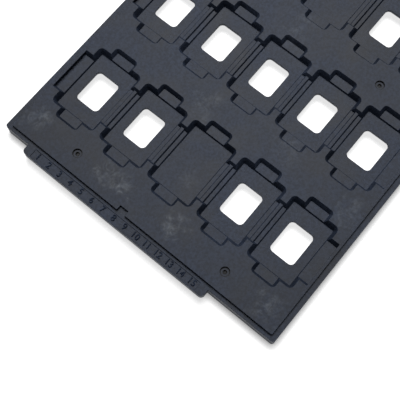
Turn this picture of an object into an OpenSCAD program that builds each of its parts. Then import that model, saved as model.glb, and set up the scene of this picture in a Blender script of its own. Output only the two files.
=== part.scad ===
// A stackable moulded tray that holds integrated circuits in a grid of stepped, linked pockets.
// Millimetres. The origin is in the middle of the resting face, X runs along the tray, Z is up.

/* [Tray outline] */
// Length of the body, without its end tabs
body_l = 315; // [308:0.5:330]
// Width of the body
body_w = 135.9; // [134:0.1:150]
// Height of the top deck above the resting face
deck_z = 7.62; // [7.4:0.01:9]
// Height of the outer ledge, and so the pitch of a stack of trays
ledge_z = 6.35; // [5.8:0.01:6.8]
// Width of the ledge along the two long sides
side_ledge = 2.3; // [1.5:0.1:3]
// Width of the ledge across the two ends
end_ledge = 1.8; // [1:0.1:3]
// Radius of the upright corners of the body
corner_r = 1.2; // [0.4:0.1:2.5]
// Radius of the upright corners of the deck
deck_r = 0.6; // [0.2:0.1:2]
// Length of each leg of the sloping index corner
index_leg = 5; // [3:0.5:8]

/* [End tabs] */
// How far a tab stands out from the end of the body
tab_out = 3.8; // [2.5:0.1:6]
// Width of a tab
tab_w = 92.1; // [70:0.1:105]
// Distance of the middle of a tab from the middle of the body
tab_offset = 9.35; // [0:0.05:12]
// Height of the underside of a tab
tab_z = 2.54; // [1:0.01:4]
// Radius of the outer corners of a tab
tab_r = 1.7; // [0.5:0.1:2.4]
// Depth of the marking panel sunk in the top of one tab
panel_depth = 0.25; // [0.1:0.05:0.8]
// Width of the marking panel
panel_w = 3.5; // [2:0.1:4]
// Rim left between the panel and the outer edge of the tab
panel_rim = 0.65; // [0.4:0.05:1]
// Length of tab left bare at each end of the panel
panel_margin = 3.9; // [2:0.1:10]

/* [Locating slot] */
// Width of the square slot in the end of the deck
slot_w = 3.9; // [2:0.1:8]
// Depth of the slot, from the end of the deck
slot_depth = 2.2; // [1:0.1:4]
// Distance of the slot from the middle of the body
slot_offset = 8.25; // [0:0.05:20]

/* [Pocket grid] */
// Number of rows along the tray
rows = 6; // [2:1:6]
// Number of pockets across the tray
cols = 5; // [2:1:5]
// Distance from one row to the next
row_pitch = 49.05; // [44:0.05:50]
// Distance from one pocket to the next across the tray
col_pitch = 24.9; // [23.8:0.05:25.5]
// Rows, counted from either end, whose middle pocket has a closed floor to lift the tray by
closed_rows = [1, 3];

/* [Pocket] */
// Length of the pocket floor, along the tray
pocket_l = 27.6; // [24:0.1:30]
// Width of the pocket floor, across the tray
pocket_w = 19; // [15:0.1:19.6]
// Depth of the pocket floor below the deck
pocket_depth = 2.87; // [2.4:0.01:3.3]
// Radius of the floor's corners, in pockets and finger recesses
pocket_r = 0.5; // [0.2:0.1:1.5]
// Slope of the walls from upright, in degrees
wall_draft = 22; // [2:1:25]
// Height of the wider lead-in at the top of the walls
lead_h = 1.27; // [0.6:0.01:1.6]
// Width of the lead-in
lead_w = 0.85; // [0.4:0.05:1]
// Thickness of the web under the pocket floor
web_t = 1.4; // [1:0.05:1.8]
// Length of the hole in the pocket floor
hole_l = 14.8; // [8:0.1:22]
// Width of the hole in the pocket floor
hole_w = 11.3; // [6:0.1:16]
// Radius of the corners of the hole
hole_r = 1.3; // [0.5:0.1:2.5]

/* [Finger recesses and links] */
// Height of the finger recesses and links above the pocket floor
step_h = 0.8; // [0.4:0.05:1.2]
// Length over the two finger recesses of a pocket
finger_l = 36; // [32:0.1:38]
// Width of a finger recess
finger_w = 9; // [6:0.1:13]
// Width of the link that joins a pocket to its neighbours
link_w = 18.2; // [8:0.1:22]
// Thickness of the bar across each link, at its top
bar_t = 1.4; // [0.8:0.1:2]
// Thickness of the deck wall that closes the outermost links
rim_t = 1.25; // [0.8:0.05:3]

/* [Moulding gates] */
// Diameter of the dimple round each gate
gate_d = 3.8; // [2.5:0.1:5]
// Depth of the dimple
gate_depth = 0.4; // [0.2:0.05:0.7]
// Diameter of the gate stub at its root
stub_d = 1.8; // [1:0.1:2.2]
// Height of the stub above the bottom of the dimple
stub_h = 0.3; // [0.1:0.05:0.4]
// Distance of the outer gates from the ends of the body
gate_inset = 9.3; // [6:0.1:11]

/* [Underside] */
// Clearance all round between the skirt and the deck of the tray below
stack_gap = 0.3; // [0.1:0.05:0.6]
// Clearance between the ribs and the deck of the tray below
rib_gap = 0.2; // [0.1:0.05:0.8]
// Thickness of the ribs
rib_t = 1.4; // [0.8:0.1:2.5]
// Wall left round the cores under the deck
core_wall = 1.4; // [1:0.05:2]

/* [Hidden] */
$fn = 48;
over = 1;                                  // how far a cut runs past the face that it opens

deck_l = body_l - 2 * end_ledge;
deck_w = body_w - 2 * side_ledge;
floor_z = deck_z - pocket_depth;
step_z = floor_z + step_h;
lead_z = deck_z - lead_h;
web_z = floor_z - web_t;
rib_z = deck_z - ledge_z + rib_gap;        // the deck of the tray below reaches this far up into the skirt
core_z = deck_z - core_wall;
grid_l = (rows - 1) * row_pitch;
grid_w = (cols - 1) * col_pitch;
finger_top_l = finger_l + 2 * spread(step_z, deck_z);
core_w = row_pitch - finger_top_l - 2 * core_wall;
core_l = deck_w - 2 * core_wall;
end_core_out = deck_l / 2 - core_wall;
end_core_in = grid_l / 2 + finger_top_l / 2 + core_wall;

function row_x(row) = row * row_pitch - grid_l / 2;
function col_y(col) = grid_w / 2 - col * col_pitch;
function end_row(row) = min(row, rows - 1 - row) + 1;
function is_closed(row, col) = 2 * col == cols - 1 && search(end_row(row), closed_rows) != [];

// Whole micrometres, so that the flat walls and the cones at their corners meet exactly
function micron(x) = round(x * 1000) / 1000;

// How far a wall that starts at height from leans outwards by the height z
function spread(from, z) =
    micron((min(z, lead_z) - from) * tan(wall_draft)) + micron(max(z - lead_z, 0) * lead_w / lead_h);

// Half section of a recess: floor, drafted wall, lead-in, then straight up through the deck
function wall_line(half, from) = [
    [half, from],
    [half + spread(from, lead_z), lead_z],
    [half + spread(from, deck_z), deck_z],
    [half + spread(from, deck_z), deck_z + over]
];

function mirrored(line) = [for (i = [len(line) - 1:-1:0]) [-line[i][0], line[i][1]]];

module rounded(size, r) {
    square([size.x - 2 * r, size.y], center = true);
    square([size.x, size.y - 2 * r], center = true);
    for (x = [-1, 1], y = [-1, 1])
        translate([x * (size.x / 2 - r), y * (size.y / 2 - r)])
            circle(r);
}

// The corner at far X and low Y is cut off at 45 degrees, to show which way round the tray lies
module indexed(size, r) {
    difference() {
        rounded(size, r);
        translate([size.x / 2, -size.y / 2])
            rotate(45)
                square([index_leg * sqrt(2), index_leg * sqrt(2)], center = true);
    }
}

// Extrudes a section drawn across the tray along X, or one drawn along the tray along Y
module along_x(length) {
    rotate([90, 0, 90])
        linear_extrude(length, center = true)
            children();
}

module along_y(length) {
    rotate([90, 0, 0])
        linear_extrude(length, center = true)
            children();
}

module trough_section(width, from) {
    line = wall_line(width / 2, from);
    polygon(concat(line, mirrored(line)));
}

// A rectangular recess with drafted walls, a lead-in and rounded corners, as a solid to cut away
module recess(l, w, from) {
    along_y(w - 2 * pocket_r)
        trough_section(l, from);
    along_x(l - 2 * pocket_r)
        trough_section(w, from);
    for (x = [0, 1], y = [0, 1])
        mirror([x, 0, 0])
            mirror([0, y, 0])
                translate([l / 2 - pocket_r, w / 2 - pocket_r, 0])
                    rotate_extrude(angle = 90)
                        polygon(concat(wall_line(pocket_r, from), [[0, deck_z + over], [0, from]]));
}

module pocket() {
    recess(pocket_l, pocket_w, floor_z);
    recess(finger_l, finger_w, step_z);
}

// Low bar between two pockets, as high as the foot of the lead-in
module link_bar() {
    top = bar_t / 2;
    foot = top + spread(step_z, lead_z);
    along_x(link_w + 2 * spread(step_z, deck_z))
        polygon([[-foot, step_z], [foot, step_z], [top, lead_z], [-top, lead_z]]);
}

// One trough joins a whole row of pockets, from deck wall to deck wall
module link() {
    difference() {
        along_y(deck_w - 2 * rim_t)
            trough_section(link_w, step_z);
        for (col = [0:cols - 2])
            translate([0, col_y(col + 0.5), 0])
                link_bar();
    }
}

module pocket_row() {
    link();
    for (col = [0:cols - 1])
        translate([0, col_y(col), 0])
            pocket();
}

module floor_holes() {
    for (row = [0:rows - 1], col = [0:cols - 1])
        if (!is_closed(row, col))
            translate([row_x(row), col_y(col), web_z - over])
                linear_extrude(web_t + 2 * over)
                    rounded([hole_l, hole_w], hole_r);
}

module tabs() {
    translate([0, tab_offset, tab_z])
        linear_extrude(ledge_z - tab_z)
            rounded([body_l + 2 * tab_out, tab_w], tab_r);
}

module panel() {
    translate([-body_l / 2 - tab_out + panel_rim, tab_offset - tab_w / 2 + panel_margin, ledge_z - panel_depth])
        cube([panel_w, tab_w - 2 * panel_margin, panel_depth + over]);
}

module locating_slot() {
    translate([-deck_l / 2 - over, slot_offset - slot_w / 2, ledge_z])
        cube([slot_depth + over, slot_w, deck_z - ledge_z + over]);
}

module gate() {
    difference() {
        translate([0, 0, deck_z - gate_depth])
            cylinder(d = gate_d, h = gate_depth + over);
        translate([0, 0, deck_z - gate_depth - over])
            cylinder(d1 = stub_d, d2 = stub_d * 0.75, h = stub_h + over);
    }
}

// Gates lie on the two outer lines between the columns, near each end and every second row
module gates() {
    for (x = [body_l / 2 - gate_inset, row_pitch], side_x = [-1, 1], side_y = [-1, 1])
        translate([side_x * x, side_y * (grid_w / 2 - col_pitch / 2), 0])
            gate();
}

module ribs() {
    for (col = [0:cols - 2])
        translate([-body_l / 2, col_y(col + 0.5) - rib_t / 2, rib_z])
            cube([body_l, rib_t, deck_z]);
    for (row = [0:rows - 2])
        translate([row_x(row + 0.5) - rib_t / 2, -body_w / 2, rib_z])
            cube([rib_t, body_w, deck_z]);
}

// The open underside inside the skirt, with the cores that keep the deck to an even thickness
module hollow() {
    translate([0, 0, -over])
        linear_extrude(rib_z + over)
            indexed([deck_l + 2 * stack_gap, deck_w + 2 * stack_gap], deck_r);
    difference() {
        union() {
            linear_extrude(web_z)
                indexed([deck_l, deck_w], deck_r);
            for (row = [0:rows - 2])
                translate([row_x(row + 0.5) - core_w / 2, -core_l / 2, 0])
                    cube([core_w, core_l, core_z]);
            for (side = [0, 1])
                mirror([side, 0, 0])
                    translate([end_core_in, -core_l / 2, 0])
                        cube([end_core_out - end_core_in, core_l, core_z]);
        }
        ribs();
    }
}

module body() {
    linear_extrude(ledge_z)
        indexed([body_l, body_w], corner_r);
    linear_extrude(deck_z)
        indexed([deck_l, deck_w], deck_r);
    tabs();
}

module tray() {
    color("#42464d")
        difference() {
            body();
            hollow();
            for (row = [0:rows - 1])
                translate([row_x(row), 0, 0])
                    pocket_row();
            floor_holes();
            panel();
            locating_slot();
            gates();
        }
}

tray();
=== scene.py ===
# %% [markdown]
# # A matrix tray for integrated circuits
#
# Trays like this one carry packaged chips through drying ovens and into automatic handlers. The real thing
# is a single injection moulding in a dark, carbon-filled, heat-resistant plastic. The CAD model already has
# its main form, so this lesson adds what a moulding has and a drawing has not: softened edges, raised marks
# on the end tab, and a surface with grain, flow marks and light wear.

# %% Load the frame
import math

import bmesh
import bpy
import numpy as np
from mathutils import Matrix, Vector


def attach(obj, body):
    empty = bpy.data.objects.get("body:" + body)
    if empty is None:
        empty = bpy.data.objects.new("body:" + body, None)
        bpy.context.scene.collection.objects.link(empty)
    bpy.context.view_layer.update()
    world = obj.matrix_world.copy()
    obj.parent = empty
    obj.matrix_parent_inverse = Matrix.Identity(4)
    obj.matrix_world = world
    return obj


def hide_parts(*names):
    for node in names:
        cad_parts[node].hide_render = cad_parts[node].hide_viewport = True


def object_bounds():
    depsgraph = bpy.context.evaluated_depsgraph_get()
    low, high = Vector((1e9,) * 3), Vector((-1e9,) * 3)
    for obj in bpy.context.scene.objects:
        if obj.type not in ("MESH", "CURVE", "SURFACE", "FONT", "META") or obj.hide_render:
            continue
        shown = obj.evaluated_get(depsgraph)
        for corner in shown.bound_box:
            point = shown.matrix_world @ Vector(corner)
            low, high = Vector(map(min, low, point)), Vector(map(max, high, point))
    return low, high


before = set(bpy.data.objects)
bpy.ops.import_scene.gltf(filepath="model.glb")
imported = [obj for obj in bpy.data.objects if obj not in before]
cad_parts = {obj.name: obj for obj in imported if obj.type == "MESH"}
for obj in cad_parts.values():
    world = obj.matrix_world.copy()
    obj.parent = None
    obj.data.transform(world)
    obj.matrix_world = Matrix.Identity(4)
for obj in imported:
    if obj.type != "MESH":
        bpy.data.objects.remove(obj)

MM = 0.001                        # one millimetre in Blender's metres
scene = bpy.context.scene
cad_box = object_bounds()
low, high = (np.array(corner) / MM for corner in cad_box)
print("the CAD model measures", (high - low).round(2), "mm")

# %% [markdown]
# ## The view
#
# The camera stands close over one end of the tray and looks steeply down, so the rows of pockets run off
# the frame. A place and two directions fix a camera fully: where it looks, and which way is up in the
# picture. Turning three vectors into a matrix avoids any thought about the order of three angles.

# %% Camera
NEAREST_SEEN = 10 * MM
FARTHEST_SEEN = 20                # metres, well past the tray


def place_camera(name, place, look, up, lens):
    """A camera at place (mm) that looks along look, with the picture's upward side towards up."""
    back = -Vector(look).normalized()
    right = Vector(up).cross(back).normalized()
    turn = Matrix((right, back.cross(right), back)).transposed()
    camera = bpy.data.objects.new(name, bpy.data.cameras.new(name))
    camera.data.lens = lens
    camera.data.clip_start = NEAREST_SEEN
    camera.data.clip_end = FARTHEST_SEEN
    camera.matrix_world = Matrix.Translation(Vector(place) * MM) @ turn.to_4x4()
    scene.collection.objects.link(camera)
    return camera


scene.camera = place_camera("view", (-204.73, -73.80, 319.65), look=(0.22174, 0.18899, -0.95662),
                            up=(0.73909, 0.60735, 0.29131), lens=75.98)
print("camera", [round(v / MM) for v in scene.camera.location], "mm")

# %% [markdown]
# ## Whole flats from loose triangles
#
# No moulded edge is sharp, and a Bevel modifier can round them all. But the CAD mesh is loose triangles,
# and long thin ones on the flats would fold over when their corners move. So the shared points of a copy
# are joined, each flat is cut along the middle of the pocket rows and columns, and the triangles between
# two cuts become one face. The cuts pass through every hole, so that no face has to close round one.

# %% Grid of pockets
ROWS, COLUMNS = 6, 5
ROW_PITCH = 49.05                 # from one row of pockets to the next, along X
COLUMN_PITCH = 24.9               # from one pocket to the next in a row, along Y
BETWEEN_POCKETS = np.array((-1.5, 1.5))   # in columns from the middle: the lines that the gates lie on

row_lines = ROW_PITCH * (np.arange(ROWS) - (ROWS - 1) / 2)
pocket_lines = COLUMN_PITCH * (np.arange(COLUMNS) - (COLUMNS - 1) / 2)
column_lines = np.append(pocket_lines, COLUMN_PITCH * BETWEEN_POCKETS)
print("cuts across X at", row_lines.round(2), "and across Y at", column_lines.round(2))

# %% Cut and join the flats
SAME_POINT = 0.001 * MM           # points nearer than this are one
ON_PLANE = 0.002 * MM             # points nearer than this to a cutting plane lie on it
SAME_FLAT = math.radians(0.5)     # faces that meet at less than this are one flat


def cut_flats(work, axis, places):
    """Cuts the mesh with planes across one axis and marks the cut lines as seams."""
    normal = np.eye(3)[axis]
    for place in places:
        parts = bmesh.ops.bisect_plane(work, geom=work.verts[:] + work.edges[:] + work.faces[:],
                                       dist=ON_PLANE, plane_co=normal * place * MM, plane_no=normal)
        for part in parts["geom_cut"]:
            if isinstance(part, bmesh.types.BMEdge):
                part.seam = True


def copy_in_flats(node, name):
    """A copy of a CAD node's mesh with joined points, and one face for each flat between two cuts."""
    mesh = node.data.copy()
    mesh.name = name
    mesh.materials.clear()
    work = bmesh.new()
    work.from_mesh(mesh)
    bmesh.ops.remove_doubles(work, verts=work.verts, dist=SAME_POINT)
    cut_flats(work, 0, row_lines)
    cut_flats(work, 1, column_lines)
    bmesh.ops.dissolve_limit(work, angle_limit=SAME_FLAT, verts=work.verts, edges=work.edges,
                             delimit={"SEAM"})
    open_edges = sum(not edge.is_manifold for edge in work.edges)
    work.to_mesh(mesh)
    work.free()
    print(name, "has", len(mesh.polygons), "faces and", open_edges, "open edges")
    return mesh


shell_mesh = copy_in_flats(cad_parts["tray"], "tray_shell")

# %% [markdown]
# ## Gate marks and hole corners
#
# Two small forms differ from the CAD model. Where a gate was torn off, it has a low stub in a shallow
# dimple, and the real mark is a pit in a deeper one. The corners of its holes are also a little too tight.
# Both could be cut and filled again, but the points that need to move are known by their places, so they
# are picked with whole-array tests and moved. No face is added or lost.

# %% Sink the gate marks
GATE_X = (-148.2, -49.05, 49.05, 148.2)
GATE_Y = (-37.35, 37.35)
DIMPLE_RADIUS = 1.95              # the dimple round a gate lies within this radius
GATE_DIMPLE = 0.4                 # and is this deep in the CAD model
DIMPLE_SINKS = 0.35               # its floor goes down by this much more
PIT_SINKS = 0.9                   # and the stub's top by this much again, to become a pit
PIT_WIDER = 1.25                  # and the pit's floor is this much wider than the stub's top was
SLACK = 0.01                      # mm by which a picked point may miss its height or radius


def read_points(mesh):
    """The mesh's points as an array of rows x, y, z in metres."""
    points = np.empty(len(mesh.vertices) * 3)
    mesh.vertices.foreach_get("co", points)
    return points.reshape(-1, 3)


def sink_gate_marks(mesh):
    """Lowers the dimple's points by DIMPLE_SINKS, and the stub's top by PIT_SINKS more, about each gate."""
    points = read_points(mesh)
    for x in GATE_X:
        for y in GATE_Y:
            reach = np.hypot(*(points[:, :2] / MM - (x, y)).T)
            below = high[2] - points[:, 2] / MM
            dimple = (reach < DIMPLE_RADIUS) & (below > SLACK) & (below < GATE_DIMPLE + SLACK)
            stub_top = dimple & (below < GATE_DIMPLE - SLACK)
            points[dimple, 2] -= DIMPLE_SINKS * MM
            points[stub_top, 2] -= PIT_SINKS * MM
            points[stub_top, :2] = ((x, y) + (points[stub_top, :2] / MM - (x, y)) * PIT_WIDER) * MM
    mesh.vertices.foreach_set("co", points.ravel())


sink_gate_marks(shell_mesh)
print("sank", len(GATE_X) * len(GATE_Y), "gate marks to", DIMPLE_SINKS + GATE_DIMPLE, "mm")

# %% Widen the hole corners
HOLE = (14.8, 11.3)
HOLE_ROUND = (1.3, 1.9)           # radius of a hole's corners in the CAD mesh, and in this copy
PAST_END = 0.001                  # mm by which the ends of an arc may lie outside its quarter


def soften_holes(mesh):
    """Widens each hole's corners: a point at angle a on the old arc goes to angle a on the new one."""
    points = read_points(mesh)
    for x in row_lines:
        for y in pocket_lines:
            out = points[:, :2] / MM - (x, y)
            corner = np.array(HOLE) / 2 - HOLE_ROUND[0]
            arc = np.abs(out) - corner
            on_arc = np.all(arc > -PAST_END, axis=1) & (np.hypot(*arc.T) < HOLE_ROUND[0] + SLACK)
            side = np.sign(out[on_arc])
            wider = arc[on_arc] * HOLE_ROUND[1] / HOLE_ROUND[0]
            points[on_arc, :2] = ((x, y) + side * (np.array(HOLE) / 2 - HOLE_ROUND[1] + wider)) * MM
    mesh.vertices.foreach_set("co", points.ravel())


soften_holes(shell_mesh)
print("hole corners now have a radius of", HOLE_ROUND[1], "mm")

# %% [markdown]
# ## Softened edges
#
# The steel of a mould is cut with a round tool and the plastic shrinks away from it, so each edge turns
# over about a tenth of a millimetre. That thin round catches the light. Bevel makes it on every true edge,
# and Weighted Normal keeps the large flats from shading as if they were curved.

# %% Tray shell
EDGE_ROUND = 0.10 * MM            # how far a moulded edge turns over
EDGE_STEPS = 2                    # faces across that round
TRUE_EDGE = math.radians(20)      # the facets of one curve meet at less than this
LARGEST_FACE_WINS = 100           # the weight at which a point takes the normal of its largest face

tray_shell = bpy.data.objects.new("tray_shell", shell_mesh)
scene.collection.objects.link(tray_shell)
tray_shell.data.shade_smooth()

rounding = tray_shell.modifiers.new("moulded_edges", "BEVEL")
rounding.width = EDGE_ROUND
rounding.segments = EDGE_STEPS
rounding.limit_method = "ANGLE"
rounding.angle_limit = TRUE_EDGE
rounding.use_clamp_overlap = False    # the short facets of a curve would hold it back everywhere
rounding.miter_outer = "MITER_ARC"

flat_faces = tray_shell.modifiers.new("flat_faces", "WEIGHTED_NORMAL")
flat_faces.weight = LARGEST_FACE_WINS
flat_faces.keep_sharp = False

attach(tray_shell, "root")
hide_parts("tray")
print(tray_shell.name, "has modifiers", [modifier.name for modifier in tray_shell.modifiers])

# %% [markdown]
# ## Marks in the tab
#
# Such trays carry raised characters in the sunk panel of an end tab, because sinking them into the mould's
# steel is the easy way to make them. Here they are plain counting numbers. They could be drawn in the
# material as a bump, but a bump has no side walls and is no part of the mesh. Each number is a
# text object made solid, turned into a mesh, and only then put in place, so the piece keeps its origin at
# the frame's.

# %% One solid number
NUMBER_RISE = 0.40                # stands a little above the face of the tab
NUMBER_SIZE = 3.7                 # a capital of this type is 0.7 of its size
NUMBER_CURVE_STEPS = 4            # points along each curve of the type
CHAMFER = 0.04                    # fine chamfer along the strokes
STROKE_INSET = 0.02               # strokes are drawn this much thinner, as the chamfer widens them
SUNK = 0.05                       # the root reaches this far into the panel's floor
SAME_TEXT_POINT = 0.0005          # in text units, which are millimetres here


def solid_text(words):
    """The corner points (mm, centred on the origin) and faces of a text, extruded with a fine chamfer."""
    curve = bpy.data.curves.new("number", "FONT")
    curve.body = words
    curve.size = NUMBER_SIZE
    curve.align_x = "CENTER"
    curve.align_y = "CENTER"
    curve.resolution_u = NUMBER_CURVE_STEPS
    curve.extrude = (NUMBER_RISE + SUNK) / 2 - CHAMFER
    curve.bevel_depth = CHAMFER
    curve.offset = -STROKE_INSET
    holder = bpy.data.objects.new("number", curve)
    work = bmesh.new()
    work.from_mesh(holder.to_mesh())
    bmesh.ops.remove_doubles(work, verts=work.verts, dist=SAME_TEXT_POINT)
    bmesh.ops.recalc_face_normals(work, faces=work.faces)
    open_edges = sum(not edge.is_manifold for edge in work.edges)
    mesh = bpy.data.meshes.new("number")
    work.to_mesh(mesh)
    work.free()
    bpy.data.objects.remove(holder)
    return read_points(mesh), read_faces(mesh), open_edges


def read_faces(mesh):
    """The mesh's faces as arrays of point numbers: the list of all corners, split where each face starts."""
    corners = np.empty(len(mesh.loops), dtype=np.int32)
    mesh.loops.foreach_get("vertex_index", corners)
    starts = np.empty(len(mesh.polygons), dtype=np.int32)
    mesh.polygons.foreach_get("loop_start", starts)
    return np.split(corners, starts[1:])


# %% Raised numbers
PANEL_X = (-160.65, -157.15)      # the sunk panel, across the tab
PANEL_Y = (-32.8, 51.5)           # and along it
PANEL_FLOOR = 6.10
NUMBER_COUNT = 15


def raised_numbers(name):
    """Numbers from 1 upwards along the panel: text runs along -Y, and its upward side points to +X."""
    middles = np.linspace(PANEL_Y[1], PANEL_Y[0], NUMBER_COUNT * 2 + 1)[1::2]
    turn = np.array([[0, 1, 0], [-1, 0, 0], [0, 0, 1]])
    height = PANEL_FLOOR - SUNK + (NUMBER_RISE + SUNK) / 2
    points, faces, count, all_open = [], [], 0, 0
    for number, along in enumerate(middles, start=1):
        corners, outlines, open_edges = solid_text(str(number))
        points.append(corners @ turn.T + (np.mean(PANEL_X), along, height))
        faces += [outline + count for outline in outlines]
        count += len(corners)
        all_open += open_edges
    mesh = bpy.data.meshes.new(name)
    mesh.from_pydata(np.concatenate(points) * MM, [], faces)
    piece = bpy.data.objects.new(name, mesh)
    scene.collection.objects.link(piece)
    print(name, "has", len(mesh.polygons), "faces and", all_open, "open edges")
    return piece


tab_numbers = raised_numbers("tab_numbers")
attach(tab_numbers, "root")

# %% [markdown]
# ## Nodes and colours
#
# Colours are written as they are seen, as sRGB hex values, and turned to the linear numbers that a shader
# works with. Every pattern is scaled from a real size: a Noise texture repeats about once for each unit of
# its coordinates, so a scale of 1000 / size in millimetres gives that size.

# %% Helpers for materials
def linear(hex_colour):
    """An sRGB colour such as "#3c4048" as linear red, green, blue and alpha. The standard's curve is a
    straight line for the darkest levels and a power of 2.4 above them."""
    levels = np.array([int(hex_colour[i:i + 2], 16) for i in (1, 3, 5)]) / 255
    straight, curved = levels / 12.92, ((levels + 0.055) / 1.055) ** 2.4
    return (*np.where(levels <= 0.04045, straight, curved).tolist(), 1.0)


def per_mm(size):
    """The texture scale at which a pattern repeats about every size millimetres."""
    return 1 / (size * MM)


def add_node(tree, kind, settings=None, inputs=None):
    """Adds one node. Settings are its own choices; each input is a value, or the output to link to it."""
    node = tree.nodes.new(kind)
    for name, value in (settings or {}).items():
        setattr(node, name, value)
    for name, value in (inputs or {}).items():
        if isinstance(value, bpy.types.NodeSocket):
            tree.links.new(value, node.inputs[name])
        else:
            node.inputs[name].default_value = value
    return node


def new_material(name):
    """An empty material, its node tree and its output node."""
    material = bpy.data.materials.new(name)
    material.use_nodes = True
    material.node_tree.nodes.clear()
    return material, material.node_tree, add_node(material.node_tree, "ShaderNodeOutputMaterial")


print("mid grey #808080 is", round(linear("#808080")[0], 3), "in linear light")

# %% [markdown]
# ## Carbon-filled tray plastic
#
# The plastic is a polyphenylene blend with carbon fibre and powder, moulded hot against spark-eroded steel.
# That gives a cool charcoal with a satin face: fine even grain, faint cloudy patches where the melt met
# colder steel, and pale rubbed spots where trays and parts have slid over the deck.
#
# The real grain is about 0.1 mm, too fine for the frame, so it is drawn at 1 mm. The clouds are about
# 26 mm across. Each rubbed spot has its own place on the deck. A plain round mask would show as a disc, so
# noise first pushes the coordinates about, which makes its edge wander.

# %% Rubbed spots
STREAKS = 5                       # mm across the streaks within a rubbed spot
STREAK_SPAN = (0.42, 0.72)        # noise levels between which a streak goes from clear to full
DUSTY = "#7c8289"                 # plastic roughened until it scatters light
RAGGED = 7                        # mm across the wanderings of a spot's edge
WANDER = 3 * RAGGED * MM          # how far the full range of the noise would push it
RUBBED = [                        # x, y, radius in mm, and strength
    (-147.7, 58.9, 8, 0.5),
    (-146.4, 22.9, 6, 0.6),
    (-146.9, 15.1, 7, 0.7),
    (-147.1, -11.9, 8, 0.7),
    (-149.5, -58.2, 9, 0.5),
    (-127.8, -2.3, 8, 0.3),
    (-100.5, 11.6, 9, 0.35),
    (-94.1, -26.4, 9, 0.25),
    (-50.0, 4.0, 12, 0.25),
    (-101.0, -59.0, 8, 0.3),
]


def wandering(tree, place):
    """The place plus WANDER times a noise centred on 0, along the deck only."""
    noise = add_node(tree, "ShaderNodeTexNoise", None,
                     {"Vector": place, "Scale": per_mm(RAGGED), "Detail": 3, "Roughness": 0.6})
    centred = add_node(tree, "ShaderNodeVectorMath", {"operation": "SUBTRACT"},
                       {0: noise.outputs["Color"], 1: (0.5, 0.5, 0.5)})
    return add_node(tree, "ShaderNodeVectorMath", {"operation": "MULTIPLY_ADD"},
                    {0: centred.outputs["Vector"], 1: (WANDER, WANDER, 0), 2: place}).outputs["Vector"]


def rubbed_spots(tree, place):
    """At each point, the strongest of the spots: strength at a spot's middle, falling to 0 at its radius."""
    place = wandering(tree, place)
    strongest = None
    for x, y, radius, strength in RUBBED:
        away = add_node(tree, "ShaderNodeVectorMath", {"operation": "DISTANCE"},
                        {0: place, 1: (x * MM, y * MM, high[2] * MM)}).outputs["Value"]
        spot = add_node(tree, "ShaderNodeMapRange", {"interpolation_type": "SMOOTHSTEP"},
                        {"Value": away, "From Min": radius * MM, "From Max": 0,
                         "To Min": 0, "To Max": strength}).outputs["Result"]
        if strongest is not None:
            spot = add_node(tree, "ShaderNodeMath", {"operation": "MAXIMUM"},
                            {0: strongest, 1: spot}).outputs[0]
        strongest = spot
    return strongest


def worn(tree, place, base):
    """The base colour blended towards DUSTY by streaks times rubbed spots."""
    streaks = add_node(tree, "ShaderNodeTexNoise", None,
                       {"Vector": place, "Scale": per_mm(STREAKS), "Detail": 6, "Roughness": 0.65,
                        "Distortion": 1.5})
    scratchy = add_node(tree, "ShaderNodeMapRange", None,
                        {"Value": streaks.outputs["Fac"],
                         "From Min": STREAK_SPAN[0], "From Max": STREAK_SPAN[1]})
    rubbed = add_node(tree, "ShaderNodeMath", {"operation": "MULTIPLY"},
                      {0: scratchy.outputs["Result"], 1: rubbed_spots(tree, place)})
    return add_node(tree, "ShaderNodeMix", {"data_type": "RGBA"},
                    {"Factor": rubbed.outputs[0], "A": base, "B": linear(DUSTY)}).outputs["Result"]


print(len(RUBBED), "rubbed spots, the largest", max(spot[2] for spot in RUBBED), "mm in radius")

# %% [markdown]
# ## Painted shade in the gate marks
#
# The pit of a gate mark and the foot of the dimple's wall are darkened by painted shade in the colour. The
# gates lie mirror-wise about the middle of the tray, so with absolute coordinates two distances serve all
# eight.

# %% Painted gate shade
GATE_REACH = 3                    # mm round a gate within which its tones lie
# painted shade about a gate: darkest in the pit and at the foot of the dimple's wall
GATE_PAINTED_SHADE = [                     # mm from the gate's middle, and the share of the colour that is left
    (0.0, 0.05), (0.9, 0.1),      # the pit
    (1.05, 0.9), (1.45, 0.9),     # the dimple's floor
    (1.6, 0.15), (1.95, 0.15),    # the foot of its wall
    (2.1, 1.0),                   # the deck
]
STOPS_IN_NEW_RAMP = 2


def gate_shade(tree, place):
    """Painted shade in the gate marks: the share of the colour left at the distance to the nearest gate, in
    line between the levels listed above.
    """
    mirrored = add_node(tree, "ShaderNodeVectorMath", {"operation": "ABSOLUTE"}, {0: place})
    flat = add_node(tree, "ShaderNodeVectorMath", {"operation": "MULTIPLY"},
                    {0: mirrored.outputs["Vector"], 1: (1, 1, 0)})
    away = [add_node(tree, "ShaderNodeVectorMath", {"operation": "DISTANCE"},
                     {0: flat.outputs["Vector"], 1: (x * MM, max(GATE_Y) * MM, 0)}).outputs["Value"]
            for x in GATE_X if x > 0]
    nearest = add_node(tree, "ShaderNodeMath", {"operation": "MINIMUM"}, {0: away[0], 1: away[1]})
    share = add_node(tree, "ShaderNodeMath", {"operation": "MULTIPLY"},
                     {0: nearest.outputs[0], 1: 1 / (GATE_REACH * MM)})
    tone = add_node(tree, "ShaderNodeValToRGB", None, {"Fac": share.outputs[0]})
    stops = tone.color_ramp.elements
    for step, (reach, level) in enumerate(GATE_PAINTED_SHADE):
        stop = stops[step] if step < STOPS_IN_NEW_RAMP else stops.new(reach / GATE_REACH)
        stop.position = reach / GATE_REACH
        stop.color = (level, level, level, 1)
    return tone.outputs["Color"]


print("gate tones reach", GATE_PAINTED_SHADE[-1][0], "mm from each gate")
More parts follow.
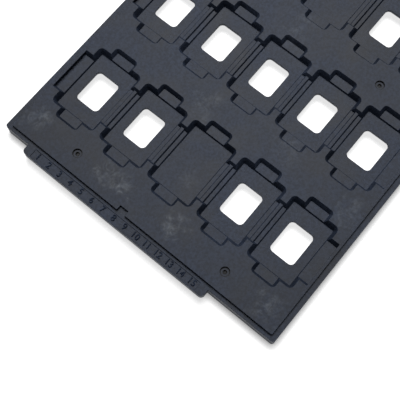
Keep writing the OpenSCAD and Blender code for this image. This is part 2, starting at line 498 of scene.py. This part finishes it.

# %% [markdown]
# ## The two finishes
#
# The shell and the numbers are the same plastic. Clouds blend two base colours and vary the gloss, wear and
# the painted shade in the gate marks go over them, and the grain varies the tone and raises a slight bump.
# Raised characters come from faces sunk deeper into the steel, which usually stay rougher, so they look
# duller and darker.

# %% Tray plastic
CLOUDS = 26                       # mm across the cloudy patches
CLOUD_SPAN = (0.35, 0.68)         # noise levels between which DARK goes over to LIGHT
DARK = "#1f2634"                  # the base colour between clouds
LIGHT = "#333c4e"                 # and within them
GLOSS_SPAN = (0.3, 0.7)           # noise levels between which the roughness changes
GRAIN = 1.0                       # mm across the grain
GRAIN_SPAN = (0.35, 0.65)         # noise levels between which the speckle changes
SPECKLE = (0.72, 1.28)            # the colour is multiplied by this much
GRAIN_HEIGHT = 0.04               # mm
GRAIN_BUMP = 0.35                 # share of that height that the shading shows


def surface_colour(tree, place, clouds, grain):
    """Clouds blended from DARK to LIGHT, worn, darkened at the gates by painted shade, and multiplied by the
    speckle.
    """
    patches = add_node(tree, "ShaderNodeMapRange", None,
                       {"Value": clouds, "From Min": CLOUD_SPAN[0], "From Max": CLOUD_SPAN[1]})
    base = add_node(tree, "ShaderNodeMix", {"data_type": "RGBA"},
                    {"Factor": patches.outputs["Result"], "A": linear(DARK), "B": linear(LIGHT)})
    # wear, then the painted shade in the gate marks
    shaded = add_node(tree, "ShaderNodeVectorMath", {"operation": "MULTIPLY"},
                      {0: worn(tree, place, base.outputs["Result"]), 1: gate_shade(tree, place)})
    speckle = add_node(tree, "ShaderNodeMapRange", None,
                       {"Value": grain, "From Min": GRAIN_SPAN[0], "From Max": GRAIN_SPAN[1],
                        "To Min": SPECKLE[0], "To Max": SPECKLE[1]})
    return add_node(tree, "ShaderNodeVectorMath", {"operation": "SCALE"},
                    {0: shaded.outputs["Vector"], "Scale": speckle.outputs["Result"]}).outputs["Vector"]


def tray_plastic(name, rough, gloss):
    """The tray's plastic, with its roughness at the two ends of the clouds and its specular level."""
    material, tree, out = new_material(name)
    place = add_node(tree, "ShaderNodeTexCoord").outputs["Object"]
    clouds = add_node(tree, "ShaderNodeTexNoise", None,
                      {"Vector": place, "Scale": per_mm(CLOUDS), "Detail": 4, "Roughness": 0.6,
                       "Distortion": 0.6}).outputs["Fac"]
    grain = add_node(tree, "ShaderNodeTexNoise", None,
                     {"Vector": place, "Scale": per_mm(GRAIN), "Detail": 2, "Roughness": 0.6}).outputs["Fac"]
    roughness = add_node(tree, "ShaderNodeMapRange", None,
                         {"Value": clouds, "From Min": GLOSS_SPAN[0], "From Max": GLOSS_SPAN[1],
                          "To Min": rough[0], "To Max": rough[1]})
    bump = add_node(tree, "ShaderNodeBump", None,
                    {"Height": grain, "Distance": GRAIN_HEIGHT * MM, "Strength": GRAIN_BUMP})
    shader = add_node(tree, "ShaderNodeBsdfPrincipled", None,
                      {"Base Color": surface_colour(tree, place, clouds, grain),
                       "Roughness": roughness.outputs["Result"], "IOR": 1.5,
                       "Specular IOR Level": gloss, "Normal": bump.outputs["Normal"]})
    tree.links.new(shader.outputs[0], out.inputs["Surface"])
    return material


for piece, name, rough, gloss in ((tray_shell, "moulded_carbon_filled_plastic", (0.50, 0.62), 0.35),
                                  (tab_numbers, "spark_eroded_number_plastic", (0.8, 0.9), 0.08)):
    plastic = tray_plastic(name, rough, gloss)
    piece.data.materials.append(plastic)
    print(plastic.name, "has", len(plastic.node_tree.nodes), "nodes")

# %% [markdown]
# ## Floor
#
# The floor is white paper. Part of what the camera sees of it is its own white, and the rest is real light,
# so that it comes out clean and still keeps the tray's soft shadow. Close to the tray its own white gets a
# painted contact shade from ambient occlusion. Far away, where the lamp hardly reaches, its own white rises
# to 1.

# %% Floor
PAPER = "#f2f2f2"
OWN_WHITE = "#ffffff"
FLOOR_OWN_WHITE = 0.75            # strength of the paper's own white near the tray
PAPER_REACH = 12                  # metres of paper on each side of the tray
LAMP_REACH = (0.3, 1.0)           # metres from the tray between which the paper's own white rises to 1
# painted shade: ambient occlusion darkens the paper's own white within this many mm of the tray
CONTACT_SHADE = 3                 # mm from the tray over which the paper darkens
CONTACT_SAMPLES = 8


def seen_rays(tree):
    """1 for a ray from the camera, from a gloss or through glass, and 0 for light on its way."""
    rays = add_node(tree, "ShaderNodeLightPath")
    seen = rays.outputs["Is Camera Ray"]
    for kind in ("Is Glossy Ray", "Is Transmission Ray"):
        seen = add_node(tree, "ShaderNodeMath", {"operation": "MAXIMUM"},
                        {0: seen, 1: rays.outputs[kind]}).outputs[0]
    return seen


def white_paper():
    """Matt paper plus its own white, which is seen rays times a painted contact shade times a level that
    rises from FLOOR_OWN_WHITE to 1 with the distance from the tray's middle."""
    material, tree, out = new_material("white_paper")
    # painted contact shade on the paper's own white
    contact = add_node(tree, "ShaderNodeAmbientOcclusion", {"samples": CONTACT_SAMPLES},
                       {"Distance": CONTACT_SHADE * MM})
    place = add_node(tree, "ShaderNodeTexCoord").outputs["Object"]
    away = add_node(tree, "ShaderNodeVectorMath", {"operation": "LENGTH"}, {0: place})
    level = add_node(tree, "ShaderNodeMapRange", None,
                     {"Value": away.outputs["Value"], "From Min": LAMP_REACH[0],
                      "From Max": LAMP_REACH[1], "To Min": FLOOR_OWN_WHITE, "To Max": 1})
    shade = add_node(tree, "ShaderNodeMath", {"operation": "MULTIPLY"},
                     {0: contact.outputs["AO"], 1: level.outputs["Result"]})
    own = add_node(tree, "ShaderNodeMath", {"operation": "MULTIPLY"},
                   {0: seen_rays(tree), 1: shade.outputs[0]})
    paper = add_node(tree, "ShaderNodeBsdfDiffuse", None, {"Color": linear(PAPER)})
    white = add_node(tree, "ShaderNodeEmission", None,
                     {"Color": linear(OWN_WHITE), "Strength": own.outputs[0]})
    both = add_node(tree, "ShaderNodeAddShader", None, {0: paper.outputs[0], 1: white.outputs[0]})
    tree.links.new(both.outputs[0], out.inputs["Surface"])
    return material


ground_mesh = bpy.data.meshes.new("ground")
corners = PAPER_REACH * np.array([(-1, -1, 0), (1, -1, 0), (1, 1, 0), (-1, 1, 0)])
ground_mesh.from_pydata(corners, [], [(0, 1, 2, 3)])
ground = bpy.data.objects.new("ground", ground_mesh)
scene.collection.objects.link(ground)
ground.data.materials.append(white_paper())
print("the floor is", 2 * PAPER_REACH, "m wide")

# %% [markdown]
# ## Light
#
# One large soft lamp stands high behind the far end of the tray. It gives the flats their satin grey, and
# leaves the walls that face the camera in deep shade. A dim room adds a little light from everywhere.

# %% Lamps
ROOM_LIGHT = 0.018


def softbox(name, azimuth, elevation, distance, size, power):
    """A square lamp facing the tray from azimuth (degrees, +X towards +Y) and elevation above the floor."""
    turn, lift = math.radians(azimuth), math.radians(elevation)
    away = Vector((math.cos(turn) * math.cos(lift), math.sin(turn) * math.cos(lift), math.sin(lift)))
    facing = away.to_track_quat("Z", "Y").to_matrix().to_4x4()
    lamp = bpy.data.objects.new(name, bpy.data.lights.new(name, "AREA"))
    lamp.data.size = size
    lamp.data.energy = power
    lamp.matrix_world = Matrix.Translation(away * distance) @ facing
    scene.collection.objects.link(lamp)
    return lamp


key = softbox("key", azimuth=40, elevation=68, distance=1.3, size=0.8, power=14)
world = bpy.data.worlds.new("room")
world.use_nodes = True
room = world.node_tree.nodes["Background"]
room.inputs["Color"].default_value = linear("#ffffff")
room.inputs["Strength"].default_value = ROOM_LIGHT
scene.world = world
scene.view_settings.view_transform = "Standard"
print("lamp", key.name, "stands", round(key.matrix_world.translation.length, 2), "m away")
